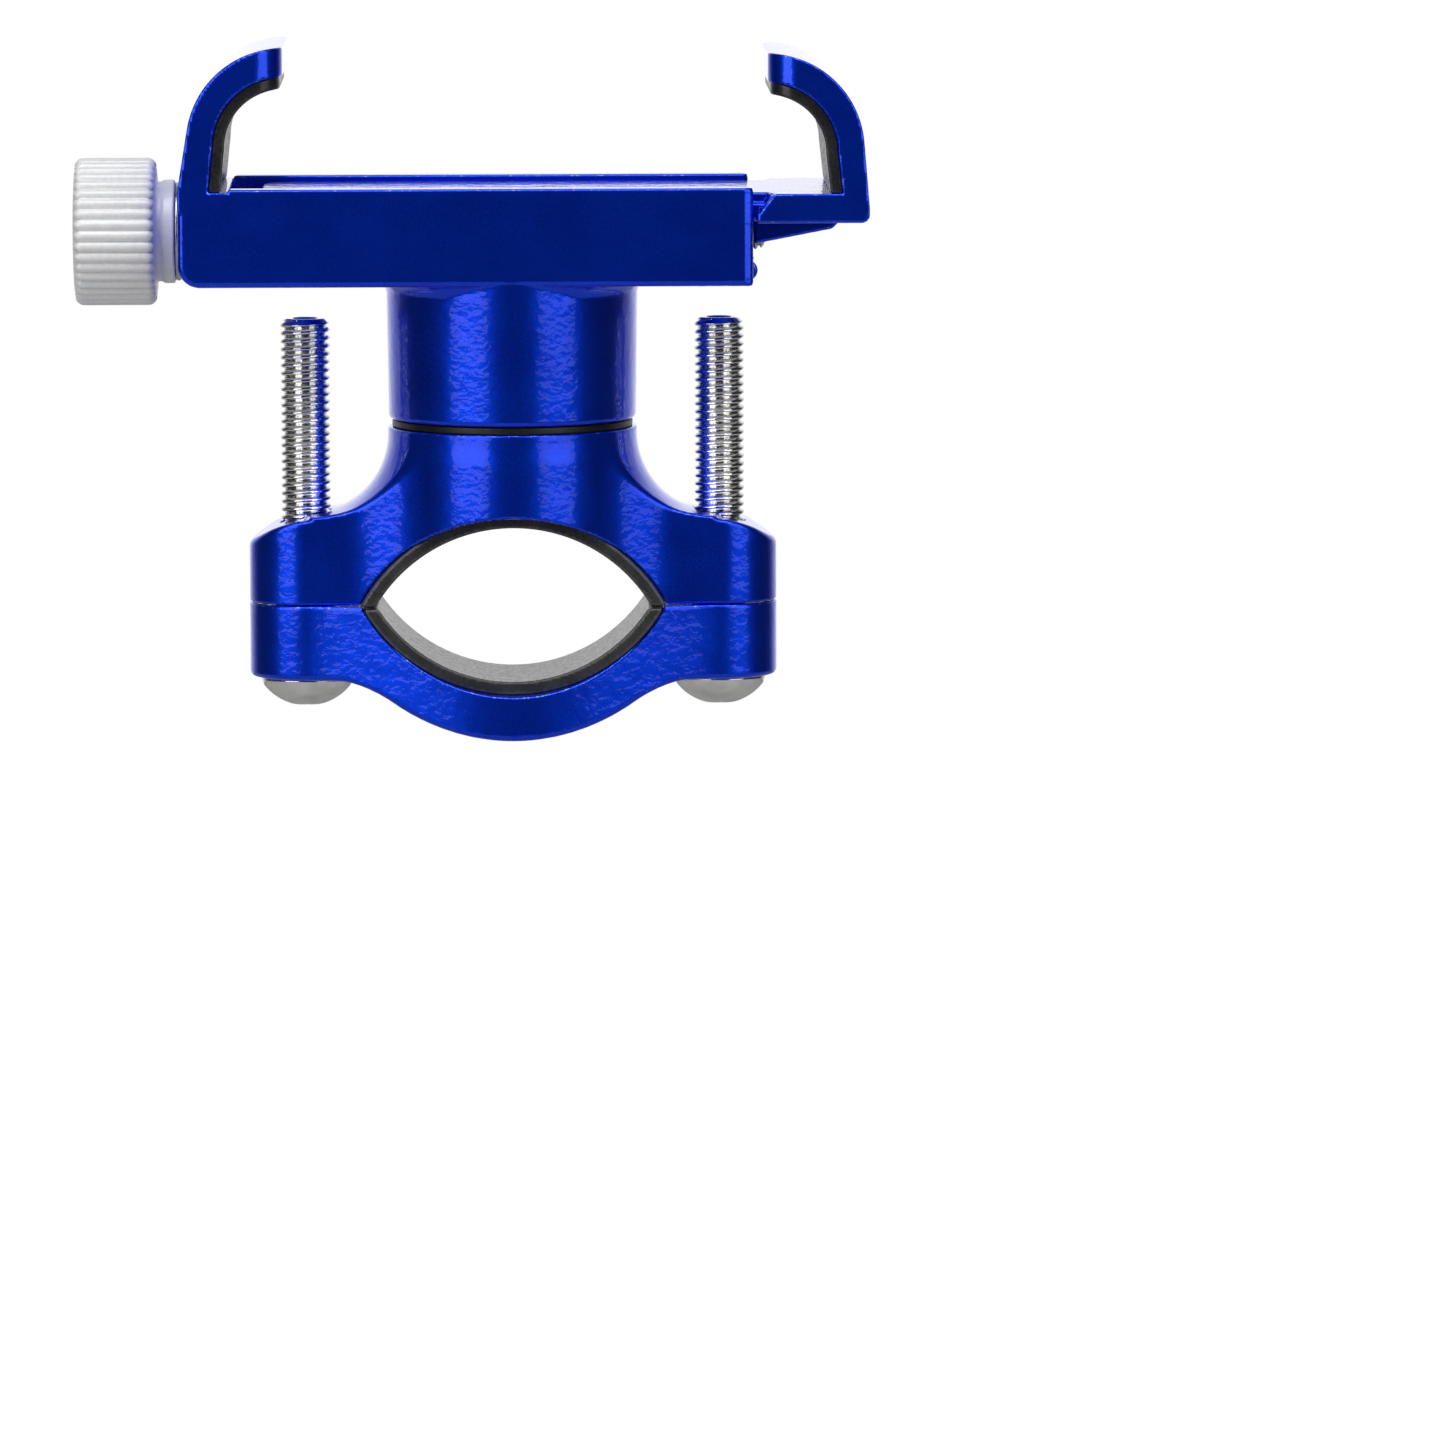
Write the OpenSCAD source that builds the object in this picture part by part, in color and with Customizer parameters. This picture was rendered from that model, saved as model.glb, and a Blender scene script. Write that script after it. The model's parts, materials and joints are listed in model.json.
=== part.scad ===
// Handlebar phone mount: a screw-driven cradle that swivels on a two-piece clamp.
// Millimetres. The origin is the middle of the closed handlebar opening, on the line where the
// clamp parts. +Y runs along the handlebar, +X towards the sliding jaw, +Z up to the phone.

/* [Handlebar clamp] */
// Diameter of the handlebar that the two liners close on
bar_d = 31.8; // [31.6:0.1:32]
// Thickness of the rubber liners
liner_t = 1.3; // [1.2:0.1:1.4]
// Width of the rubber liners along the handlebar
liner_w = 16; // [15:0.5:16]
// Height of the upper half of the closed opening, at its middle
upper_rise = 7.9; // [7.7:0.1:8]
// Depth of the lower half of the closed opening, at its middle
lower_drop = 7.45; // [7.3:0.05:7.6]
// Distance from the middle to each clamp bolt
bolt_x = 20.65; // [20.5:0.05:20.8]
// Thickness of the upper clamp's ears at the bolts
upper_ear_t = 8.5; // [8:0.1:8.6]
// Thickness of the lower clamp's ears
lower_ear_t = 7.5; // [7:0.1:8]
// Radius of the rounded end of each ear
ear_r = 5.7; // [5.6:0.05:5.8]
// Diameter of the clamp bolts, M5
bolt_d = 5; // [5:0.1:5.1]
// Length of the clamp bolts under the head
bolt_len = 35.8; // [30:0.1:37]

/* [Swivel] */
// Radius of the clamp's neck, under the friction disc
neck_r = 12.35; // [12.3:0.05:12.4]
// Height of the neck's flat top
neck_top = 17.5; // [17.4:0.05:17.6]
// Thickness of the friction disc
disc_t = 0.75; // [0.7:0.05:0.8]
// Diameter of the swivel screw, M6
swivel_d = 6; // [5.8:0.1:6]

/* [Cradle] */
// Half of the cradle's depth along the handlebar
half_depth = 12.6; // [12.6:0.05:12.8]
// Left end of the cradle body
body_left = -32.9; // [-33:0.1:-32.8]
// Right end of the cradle body
body_right = 23.8; // [23.7:0.1:23.8]
// Underside of the cradle body
body_base = 32.2; // [32.1:0.1:32.3]
// Top of the side walls, where the phone rests
wall_top = 41.9; // [41.8:0.1:42]
// Thickness of the side walls
wall_t = 2.5; // [2.4:0.1:2.6]
// Thickness of the floor
floor_t = 2.5; // [2.4:0.1:2.5]

/* [Jaws] */
// Outer radius of the bend of a hook
hook_r = 9.5; // [9.4:0.1:9.6]
// Radius of the space inside a hook
mouth_r = 6.9; // [6.8:0.1:7]
// Tip of the fixed hook
fixed_tip = [-22.5, 46.3];
// Tip of the sliding hook, jaws closed
sliding_tip = [25.3, 45.6];
// Thickness of the rubber pads
pad_t = 1.2; // [1.1:0.1:1.3]
// Top of the sliding jaw's arm
arm_top = 41.3; // [41.2:0.05:41.4]
// Thickness of the sliding jaw's arm
arm_t = 2.9; // [2.8:0.1:2.9]

/* [Drive] */
// Height of the lead screw's axis
screw_z = 37; // [36.9:0.05:37.1]
// Diameter of the lead screw, M4
screw_d = 4; // [3.9:0.1:4]
// Diameter of the knob
knob_d = 14.7; // [14:0.1:15]
// Length of the knob's grip
knob_len = 8.15; // [8:0.05:9]
// Number of flutes round the knob
flutes = 40; // [30:1:44]

/* [Hidden] */
$fn = 96;
run = 0.05;           // radial clearance of a running fit
slack = 0.3;          // gap beside a sliding face
past = 1;             // how far a cut runs past the face it breaks through

// Handlebar clamp
bar_r = bar_d / 2;
upper_arc_z = upper_rise - bar_r;
lower_arc_z = bar_r - lower_drop;
seat_r = bar_r + liner_t;
parting = 0.05;       // half of the gap between the two clamp halves
ear_end = bolt_x + ear_r;
ear_slope = 0.14;     // fall of the upper ears' tops towards their ends
ear_bevel = [3.3, 2.06]; // slanted ends of the upper ears' tops, along and down
plan_fillet_r = 12.5; // hollow between the round middle and the ears, seen from above
flare_r = 8.2;        // hollow under the neck, seen from the front
flare_at = [20.65, 16.9];
disc_inset = 0.35;    // from the neck's side to the friction disc's rim
arch_r = 21.5;        // outside of the lower clamp's arch
arch_z = 8.3;
arch_half = 8;        // half of the arch's depth at its ends
arch_bulge_r = 29;    // bulge of the arch's front and back faces
arch_fillet_r = 2;    // hollow where the arch meets the ears
lower_fillet_r = 4;   // hollow where the arch's sides meet the ears
bolt_head_r = 4.7;
bolt_head_h = 3.3;
bolt_head_rim = 0.6;  // straight rim above the bolt head's dome
bolt_hex = 3;         // across the flats of the bolts' sockets
bolt_hole_r = 2.75;   // clearance hole in the lower ears

// Swivel
swivel_r = swivel_d / 2;
head_r = 5.9;         // countersunk head of the swivel screw
head_bottom = 9.4;
head_h = head_r - swivel_r;
swivel_hex = 4;
post_bottom = neck_top + disc_t + run;
post_r_top = 12.55;
post_r_bottom = 12.35;
post_round = 0.8;
pocket_r = 7.5;       // pocket in the post for the washers and the nut
web_top = 25;         // floor of that pocket
flat_washer = [6.4, 1.6];
spring_washer = [6.2, 1.4, 0.9];
swivel_nut_af = 10;
swivel_nut_h = 4.6;

// Cradle
channel = half_depth - wall_t;
end_wall = -27.9;     // inner face of the left end wall
ledge = 41.6;         // step that the fixed pad stands on
floor_top = body_base + floor_t;
corner_r = 2.2;       // lower left corner, seen from the front
nose_r = 1;           // rounded lip at the end of the floor
trough_r = 3.7;       // trough in the floor under the lead screw
groove_deep = 1.25;   // grooves in the walls for the sliding jaw's tongues
groove_z = [38.4, 40.6];

// Jaws
mouth_drop = 0.3;
mouth_foot = 7.35;    // how far the space inside a hook reaches at its foot
fixed_foot = fixed_tip.x - body_left;
sliding_foot = 10;
tip_round = 0.6;
tip_corner_r = 3;     // corners of a hook's tip, seen from above
pad_back = 0.25;      // how far a pad's end is set back from the hook's tip
pad_half = half_depth - 0.6;
pad_corner_r = 2.4;
pad_groove = [1.2, 0.4];
pad_groove_pitch = 4.8;
arm_z = arm_top - arm_t;
arm_end = body_right + 0.4;
cove = [1.6, 2.1];    // slope at the start of the arm
plate_half = channel - slack;
plate_end = -24.9;    // end of the sliding plate inside the channel
plate_chamfer = [1.3, 2.5];
tongue_out = 1;       // how far the tongues stand out into the wall grooves
tongue_z = [38.6, 40.3];
boss_len = 10;
boss_half = 5.2;
boss_bottom = 35;
gusset = [[24.4, 35.5], [31.8, 37.4], [33, 38.6], [24.4, 38.6]];
gusset_half = 6;
screw_way_r = 2.6;    // clearance groove for the lead screw under the plate
screw_way_end = 30;

// Drive
screw_r = screw_d / 2;
nut_r = 3.3;
washer_t = 0.5;
knob_end = body_left - washer_t - run;
neck_len = 1.85;
knob_left = knob_end - neck_len - knob_len;
knob_neck_r = 5.15;
knob_washer_r = 4.9;
knob_round = 1;
flute_r = 0.42;
screw_left = knob_left + 1.2;
screw_right = 25.2;
screw_chamfer = 0.4;
clip_at = end_wall + washer_t + run;
clip_t = 0.7;
clip_groove_r = 1.6;
clip_r = 3.3;
clip_mouth = 2.2;     // width of the clip's open side
clip_washer_r = 3.4;

// Makes an outline drawn in X and Z solid from y0 to y1
module along_y(y0, y1) {
    translate([0, y1, 0]) rotate([90, 0, 0]) linear_extrude(height = y1 - y0) children();
}

// Round bar on the lead screw's axis from x0 to x1, whose radius may change
module on_screw_axis(x0, x1, r0, r1) {
    translate([x0, 0, screw_z]) rotate([0, 90, 0]) cylinder(h = x1 - x0, r1 = r0, r2 = r1);
}

// Waste outside a rounded corner at p, where dx and dy point into the material
module corner_waste(p, dx, dy, r) {
    translate(p) mirror([dx < 0 ? 1 : 0, 0]) mirror([0, dy < 0 ? 1 : 0]) difference() {
        translate([-past, -past]) square(r + past);
        translate([r, r]) circle(r = r);
    }
}

// Space inside a hook less a lining of a given thickness, down to its foot
module mouth_outline(lining, foot_depth) {
    r = mouth_r - lining;
    intersection() {
        translate([0, -mouth_drop]) circle(r = r);
        translate([-r, -mouth_drop]) square([2 * r, r + past]);
    }
    polygon([
        [-past, 0],
        [r - mouth_drop, 0],
        [r, -mouth_drop],
        [mouth_foot - lining, -foot_depth],
        [-past, -foot_depth]
    ]);
}

// Hook seen from the front, with its tip at u = 0 and the centre of its bend at the origin
module hook_outline(leg, foot, inner, foot_depth) {
    difference() {
        union() {
            intersection() {
                circle(r = hook_r);
                square(hook_r + past);
            }
            polygon([[inner, 0], [hook_r, 0], [foot, -leg], [inner, -leg]]);
        }
        mouth_outline(0, foot_depth);
        corner_waste([0, hook_r], 1, -1, tip_round);
    }
}

// Waste outside the two rounded corners of a tip that faces -X, seen from above
module tip_waste(at, half, r) {
    linear_extrude(height = hook_r + past) for (end = [-1, 1])
        corner_waste([at, end * half], 1, -end, r);
}

// Hook whose tip is at the origin and faces -X
module hook(leg, foot, inner, foot_depth) {
    difference() {
        along_y(-half_depth, half_depth) hook_outline(leg, foot, inner, foot_depth);
        tip_waste(0, half_depth, tip_corner_r);
    }
}

// Rubber pad inside a hook: a bend and a leg, whose face has shallow grooves along the bend
module pad(foot_depth) {
    difference() {
        union() {
            along_y(-pad_half, pad_half) translate([0, -mouth_drop]) intersection() {
                difference() {
                    circle(r = mouth_r);
                    circle(r = mouth_r - pad_t);
                }
                translate([pad_back, 0]) square(hook_r);
            }
            along_y(-pad_half, pad_half) polygon([
                [mouth_r - pad_t, -mouth_drop],
                [mouth_r, -mouth_drop],
                [mouth_foot, -foot_depth],
                [mouth_foot - pad_t, -foot_depth]
            ]);
        }
        for (strip = [-1.5 : 1.5])
            translate([0, strip * pad_groove_pitch, 0])
                along_y(-pad_groove.x / 2, pad_groove.x / 2)
                    mouth_outline(pad_t - pad_groove.y, foot_depth);
        tip_waste(pad_back, pad_half, pad_corner_r);
    }
}

// Post that hangs from the cradle, rounded at its lower edge
module post() {
    rotate_extrude() difference() {
        polygon([
            [0, post_bottom],
            [post_r_bottom, post_bottom],
            [post_r_top, body_base + 0.2],
            [0, body_base + 0.2]
        ]);
        corner_waste([post_r_bottom, post_bottom], -1, 1, post_round);
    }
}

// Channel-shaped casting with the fixed hook, the side walls and the swivel post
module cradle_body() {
    color([0.05, 0.12, 0.75]) difference() {
        union() {
            intersection() {
                along_y(-half_depth, half_depth) difference() {
                    translate([body_left, body_base])
                        square([body_right - body_left, wall_top - body_base]);
                    corner_waste([body_left, body_base], 1, 1, corner_r);
                    translate([body_left - past, ledge]) square([end_wall - body_left + past, past]);
                }
                linear_extrude(height = wall_top + past) difference() {
                    translate([body_left, -half_depth])
                        square([body_right - body_left, 2 * half_depth]);
                    corner_waste([body_right, -half_depth], -1, 1, 1);
                    corner_waste([body_right, half_depth], -1, -1, 1);
                }
            }
            translate([fixed_tip.x, 0, fixed_tip.y]) mirror([1, 0, 0])
                hook(
                    leg = fixed_tip.y - ledge,
                    foot = fixed_foot,
                    inner = fixed_tip.x - end_wall,
                    foot_depth = fixed_tip.y - ledge
                );
            along_y(-channel, channel)
                translate([body_right + 0.5 - nose_r, body_base + 1.4]) circle(r = nose_r);
            post();
        }
        translate([end_wall, -channel, floor_top])
            cube([body_right - end_wall + past, 2 * channel, wall_top - floor_top + past]);
        translate([end_wall, -channel - groove_deep, groove_z[0]])
            cube([body_right - end_wall + past, 2 * (channel + groove_deep), groove_z[1] - groove_z[0]]);
        on_screw_axis(end_wall, body_right + past, trough_r, trough_r);
        on_screw_axis(body_left - past, end_wall + past, screw_r + run, screw_r + run);
        translate([0, 0, web_top]) cylinder(h = wall_top - web_top, r = pocket_r);
        translate([0, 0, post_bottom - past]) cylinder(h = web_top, r = swivel_r + run);
    }
}

module fixed_jaw_pad() {
    color([0.16, 0.16, 0.16]) translate([fixed_tip.x, 0, fixed_tip.y]) mirror([1, 0, 0])
        pad(fixed_tip.y - ledge);
}

// Jaw that slides along the channel: hook, arm, guided plate, nut boss and gusset
module sliding_jaw() {
    color([0.05, 0.12, 0.75]) difference() {
        union() {
            translate([sliding_tip.x, 0, sliding_tip.y])
                hook(
                    leg = sliding_tip.y - arm_z - arm_t / 2,
                    foot = sliding_foot,
                    inner = mouth_r,
                    foot_depth = sliding_tip.y - arm_top
                );
            along_y(-half_depth, half_depth) difference() {
                polygon([
                    [arm_end, arm_z],
                    [sliding_tip.x + sliding_foot, arm_z],
                    [sliding_tip.x + sliding_foot, arm_top],
                    [arm_end + cove.x, arm_top],
                    [arm_end, arm_top - cove.y]
                ]);
                corner_waste([sliding_tip.x + sliding_foot, arm_z], -1, 1, tip_round);
            }
            translate([0, 0, arm_z]) linear_extrude(height = arm_t) polygon([
                [plate_end, plate_chamfer.y - plate_half],
                [plate_end + plate_chamfer.x, -plate_half],
                [arm_end + cove.x, -plate_half],
                [arm_end + cove.x, plate_half],
                [plate_end + plate_chamfer.x, plate_half],
                [plate_end, plate_half - plate_chamfer.y]
            ]);
            translate([plate_end + plate_chamfer.x, -channel - tongue_out, tongue_z[0]])
                cube([arm_end + past - plate_end - plate_chamfer.x, 2 * (channel + tongue_out),
                    tongue_z[1] - tongue_z[0]]);
            translate([plate_end, -boss_half, boss_bottom])
                cube([boss_len, 2 * boss_half, arm_z - boss_bottom + past]);
            along_y(-gusset_half, gusset_half) polygon(gusset);
        }
        on_screw_axis(plate_end - past, plate_end + boss_len, nut_r, nut_r);
        on_screw_axis(plate_end + boss_len - past, screw_way_end, screw_way_r, screw_way_r);
    }
}

module sliding_jaw_pad() {
    color([0.16, 0.16, 0.16]) translate([sliding_tip.x, 0, sliding_tip.y])
        pad(sliding_tip.y - arm_top);
}

// Brass bush in the jaw's boss that runs on the lead screw
module drive_nut() {
    color("gold") difference() {
        on_screw_axis(plate_end, plate_end + boss_len, nut_r, nut_r);
        on_screw_axis(plate_end - past, plate_end + boss_len + past, screw_r + run, screw_r + run);
    }
}

// Fluted knob with a plain neck
module knob() {
    color("gainsboro") difference() {
        translate([knob_left, 0, screw_z]) rotate([0, 90, 0]) rotate_extrude() difference() {
            union() {
                square([knob_d / 2, knob_len]);
                square([knob_neck_r, knob_len + neck_len]);
            }
            corner_waste([knob_d / 2, 0], -1, 1, knob_round);
            corner_waste([knob_d / 2, knob_len], -1, -1, knob_round);
        }
        for (turn = [0 : 360 / flutes : 359])
            translate([knob_left - past, 0, screw_z]) rotate([turn, 0, 0])
                translate([0, 0, knob_d / 2 + flute_r / 3]) rotate([0, 90, 0])
                    cylinder(h = knob_len + 2 * past, r = flute_r, $fn = 24);
        on_screw_axis(screw_left, knob_end + past, screw_r, screw_r);
    }
}

// Lead screw with a groove for its retaining clip
module lead_screw() {
    color("silver") difference() {
        union() {
            on_screw_axis(screw_left, screw_right - screw_chamfer, screw_r, screw_r);
            on_screw_axis(screw_right - screw_chamfer, screw_right, screw_r, screw_r - screw_chamfer);
        }
        difference() {
            on_screw_axis(clip_at, clip_at + clip_t, screw_r + past, screw_r + past);
            on_screw_axis(clip_at - past, clip_at + clip_t + past, clip_groove_r, clip_groove_r);
        }
    }
}

// Ring on the lead screw's axis
module screw_ring(x0, thickness, outer_r, inner_r) {
    difference() {
        on_screw_axis(x0, x0 + thickness, outer_r, outer_r);
        on_screw_axis(x0 - past, x0 + thickness + past, inner_r, inner_r);
    }
}

module knob_washer() {
    color("dimgray") screw_ring(body_left - washer_t, washer_t, knob_washer_r, screw_r + run);
}

module clip_washer() {
    color("silver") screw_ring(end_wall, washer_t, clip_washer_r, screw_r + run);
}

// Open clip that snaps into the lead screw's groove
module screw_clip() {
    color("dimgray") difference() {
        screw_ring(clip_at, clip_t, clip_r, clip_groove_r);
        translate([clip_at - past, -clip_mouth / 2, screw_z])
            cube([clip_t + 2 * past, clip_mouth, clip_r + past]);
    }
}

// Countersunk screw from the arch up through the neck and the post
module swivel_screw() {
    color("silver") difference() {
        union() {
            translate([0, 0, head_bottom]) cylinder(h = head_h, r1 = head_r, r2 = swivel_r);
            translate([0, 0, head_bottom]) cylinder(h = 33 - head_bottom, r = swivel_r);
        }
        translate([0, 0, head_bottom - past])
            cylinder(h = 2.4 + past, d = swivel_hex / cos(30), $fn = 6);
    }
}

// Ring on the swivel's axis
module swivel_ring(z0, thickness, outer_r) {
    translate([0, 0, z0]) difference() {
        cylinder(h = thickness, r = outer_r);
        translate([0, 0, -past]) cylinder(h = thickness + 2 * past, r = swivel_r + run);
    }
}

module friction_disc() {
    color([0.1, 0.1, 0.1]) swivel_ring(neck_top, disc_t, neck_r - disc_inset);
}

module swivel_flat_washer() {
    color("silver") swivel_ring(web_top + run, flat_washer[1], flat_washer[0]);
}

// Cone-shaped spring washer that keeps the swivel stiff
module swivel_spring_washer() {
    low = web_top + run + flat_washer[1];
    inner_r = swivel_r + 0.2;
    color("darkgray") rotate_extrude() polygon([
        [inner_r, low + spring_washer[1] - spring_washer[2]],
        [spring_washer[0], low],
        [spring_washer[0], low + spring_washer[2]],
        [inner_r, low + spring_washer[1]]
    ]);
}

module swivel_nut() {
    color("silver") translate([0, 0, web_top + run + flat_washer[1] + spring_washer[1]]) difference() {
        cylinder(h = swivel_nut_h, d = swivel_nut_af / cos(30), $fn = 6);
        translate([0, 0, -past]) cylinder(h = swivel_nut_h + 2 * past, r = swivel_r);
    }
}

// Upper clamp seen from above: round middle, two ears and the hollows between them
module upper_plan() {
    corner_at = [17, plan_fillet_r + ear_r];
    touch = neck_r / (neck_r + plan_fillet_r);
    circle(r = neck_r);
    for (side = [-1, 1]) translate([side * bolt_x, 0]) circle(r = ear_r);
    square([2 * bolt_x, 2 * ear_r], center = true);
    difference() {
        square([2 * corner_at.x, 2 * corner_at.y * touch], center = true);
        for (side = [-1, 1], end = [-1, 1])
            translate([side * corner_at.x, end * corner_at.y]) circle(r = plan_fillet_r);
    }
}

// Upper clamp's ears seen from the front: sloping tops with slanted ends
module upper_ears() {
    high = upper_ear_t + ear_slope * bolt_x;
    bevel_x = ear_end - ear_bevel.x;
    bevel_z = high - ear_slope * bevel_x;
    end_z = bevel_z - ear_bevel.y * (ear_bevel.x + past) / ear_bevel.x;
    polygon([
        [-ear_end - past, parting],
        [ear_end + past, parting],
        [ear_end + past, end_z],
        [bevel_x, bevel_z],
        [0, high],
        [-bevel_x, bevel_z],
        [-ear_end - past, end_z]
    ]);
}

// Upper clamp: neck, arch and two threaded ears in one casting
module clamp_upper() {
    color([0.05, 0.12, 0.75]) difference() {
        intersection() {
            linear_extrude(height = neck_top) upper_plan();
            union() {
                along_y(-neck_r - past, neck_r + past) upper_ears();
                rotate_extrude() difference() {
                    translate([0, parting]) square([flare_at.x, neck_top]);
                    translate(flare_at) circle(r = flare_r);
                    translate([flare_at.x - flare_r, flare_at.y]) square([flare_r, flare_r]);
                }
            }
        }
        translate([0, 0, upper_arc_z]) rotate([90, 0, 0])
            cylinder(h = 2 * (neck_r + past), r = seat_r, center = true);
        for (side = [-1, 1])
            translate([side * bolt_x, 0, -past]) cylinder(h = neck_top, r = bolt_d / 2 + run);
        cylinder(h = head_bottom, r = head_r);
        translate([0, 0, head_bottom]) cylinder(h = head_h, r1 = head_r, r2 = swivel_r);
        cylinder(h = neck_top + past, r = swivel_r);
    }
}

// Lower clamp seen from above: ears and a bulging middle
module lower_plan() {
    flat_x = 15.2;
    for (side = [-1, 1]) translate([side * bolt_x, 0]) circle(r = ear_r);
    square([2 * bolt_x, 2 * ear_r], center = true);
    intersection_for (side = [-1, 1])
        translate([0, side * (arch_bulge_r - arch_half - 1.9)]) intersection() {
            circle(r = arch_bulge_r);
            square([2 * flat_x - 2, 4 * arch_bulge_r], center = true);
        }
    difference() {
        square([2 * flat_x, 2 * (ear_r + 1.4)], center = true);
        for (side = [-1, 1], end = [-1, 1])
            translate([side * (flat_x + 1.4), end * (ear_r + lower_fillet_r)]) circle(r = lower_fillet_r);
    }
}

// Lower clamp seen from the front: ears with an arch under the opening
module lower_front() {
    reach = sqrt(pow(arch_r + arch_fillet_r, 2) - pow(arch_z + lower_ear_t + arch_fillet_r, 2));
    translate([-ear_end - past, -lower_ear_t])
        square([2 * (ear_end + past), lower_ear_t - parting]);
    difference() {
        union() {
            intersection() {
                translate([0, arch_z]) circle(r = arch_r);
                translate([-reach, -arch_r]) square([2 * reach, arch_r - parting]);
            }
            translate([-reach, -lower_ear_t - 0.9]) square([2 * reach, 1]);
        }
        for (side = [-1, 1])
            translate([side * reach, -lower_ear_t - arch_fillet_r]) circle(r = arch_fillet_r);
    }
}

// Lower clamp: an arch between two ears for the bolts
module clamp_lower() {
    color([0.05, 0.12, 0.75]) difference() {
        intersection() {
            translate([0, 0, -arch_r]) linear_extrude(height = arch_r) lower_plan();
            along_y(-neck_r, neck_r) difference() {
                lower_front();
                for (side = [-1, 1])
                    corner_waste([side * ear_end, -lower_ear_t], -side, 1, 0.8);
            }
        }
        translate([0, 0, lower_arc_z]) rotate([90, 0, 0])
            cylinder(h = 2 * (neck_r + past), r = seat_r, center = true);
        for (side = [-1, 1])
            translate([side * bolt_x, 0, -lower_ear_t - past])
                cylinder(h = lower_ear_t + 2 * past, r = bolt_hole_r);
    }
}

// Curved rubber strip on one half of the clamp, from z0 to z1
module liner(arc_z, z0, z1) {
    color([0.2, 0.2, 0.2]) along_y(-liner_w / 2, liner_w / 2) intersection() {
        translate([0, arc_z]) difference() {
            circle(r = seat_r);
            circle(r = bar_r);
        }
        translate([-bar_r, z0]) square([2 * bar_r, z1 - z0]);
    }
}

module clamp_liner_upper() {
    liner(upper_arc_z, parting + 0.1, neck_top);
}

module clamp_liner_lower() {
    liner(lower_arc_z, -neck_top, -parting - 0.1);
}

// Button-head bolt with a hexagon socket, its head under the ear
module clamp_bolt(x) {
    dome_h = bolt_head_h - bolt_head_rim;
    dome_r = (pow(bolt_head_r, 2) + pow(dome_h, 2)) / (2 * dome_h);
    color("silver") translate([x, 0, -lower_ear_t]) difference() {
        union() {
            cylinder(h = bolt_len - 0.6, r = bolt_d / 2);
            translate([0, 0, bolt_len - 0.6]) cylinder(h = 0.6, r1 = bolt_d / 2, r2 = bolt_d / 2 - 0.6);
            rotate_extrude() intersection() {
                translate([0, dome_r - bolt_head_h]) circle(r = dome_r);
                translate([0, -bolt_head_h - past]) square([bolt_head_r - 0.05, bolt_head_h + past]);
            }
        }
        translate([0, 0, -bolt_head_h - past])
            cylinder(h = 1.7 + past, d = bolt_hex / cos(30), $fn = 6);
    }
}

module clamp_bolt_left() {
    clamp_bolt(-bolt_x);
}

module clamp_bolt_right() {
    clamp_bolt(bolt_x);
}

cradle_body();
fixed_jaw_pad();
sliding_jaw();
sliding_jaw_pad();
drive_nut();
knob();
lead_screw();
knob_washer();
clip_washer();
screw_clip();
swivel_screw();
friction_disc();
swivel_flat_washer();
swivel_spring_washer();
swivel_nut();
clamp_upper();
clamp_lower();
clamp_liner_upper();
clamp_liner_lower();
clamp_bolt_left();
clamp_bolt_right();
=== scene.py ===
"""Looks of a handlebar phone mount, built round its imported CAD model.

Lengths are millimetres until a mesh is made. Every piece is a distance field: a function of x, y
and z that is negative inside the piece. surface() turns a field into a mesh whose points lie on
the true surface and whose normals follow it, so every rounded edge catches the light.
"""
import json
import math

import bpy
import numpy as np
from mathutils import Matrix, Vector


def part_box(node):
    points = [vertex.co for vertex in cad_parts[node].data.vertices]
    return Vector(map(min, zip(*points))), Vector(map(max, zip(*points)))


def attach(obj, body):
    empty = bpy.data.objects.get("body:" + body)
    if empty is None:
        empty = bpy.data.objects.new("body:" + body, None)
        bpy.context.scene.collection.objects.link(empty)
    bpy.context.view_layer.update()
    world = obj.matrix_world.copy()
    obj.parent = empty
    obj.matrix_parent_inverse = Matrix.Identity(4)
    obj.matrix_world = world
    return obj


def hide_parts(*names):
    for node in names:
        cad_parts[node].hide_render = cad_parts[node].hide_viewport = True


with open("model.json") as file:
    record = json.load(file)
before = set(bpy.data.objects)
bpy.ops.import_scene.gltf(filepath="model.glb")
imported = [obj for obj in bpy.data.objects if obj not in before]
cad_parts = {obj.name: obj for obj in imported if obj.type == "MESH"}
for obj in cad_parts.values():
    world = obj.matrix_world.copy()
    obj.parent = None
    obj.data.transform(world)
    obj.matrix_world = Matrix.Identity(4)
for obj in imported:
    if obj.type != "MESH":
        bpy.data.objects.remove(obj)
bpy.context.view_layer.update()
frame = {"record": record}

import openvdb
from mathutils import Matrix, Vector

MM = 0.001


# ------------------------------------------------------------------------------------- sizes
def box_mm(node):
    """Lowest and highest corner of a CAD node, in millimetres."""
    low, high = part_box(node)
    return np.array(low) / MM, np.array(high) / MM


cradle_low, cradle_high = box_mm("cradle_body")
jaw_low, jaw_high = box_mm("sliding_jaw")
fixed_pad_low, fixed_pad_high = box_mm("fixed_jaw_pad")
sliding_pad_low, _ = box_mm("sliding_jaw_pad")
knob_low, knob_high = box_mm("knob")
screw_low, screw_high = box_mm("lead_screw")
nut_low, nut_high = box_mm("drive_nut")
upper_low, upper_high = box_mm("clamp_upper")
lower_low, lower_high = box_mm("clamp_lower")
upper_liner_low, upper_liner_high = box_mm("clamp_liner_upper")
lower_liner_low, lower_liner_high = box_mm("clamp_liner_lower")
bolt_low, bolt_high = box_mm("clamp_bolt_right")
disc_low, disc_high = box_mm("friction_disc")
pivot_low, pivot_high = box_mm("swivel_screw")

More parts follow.
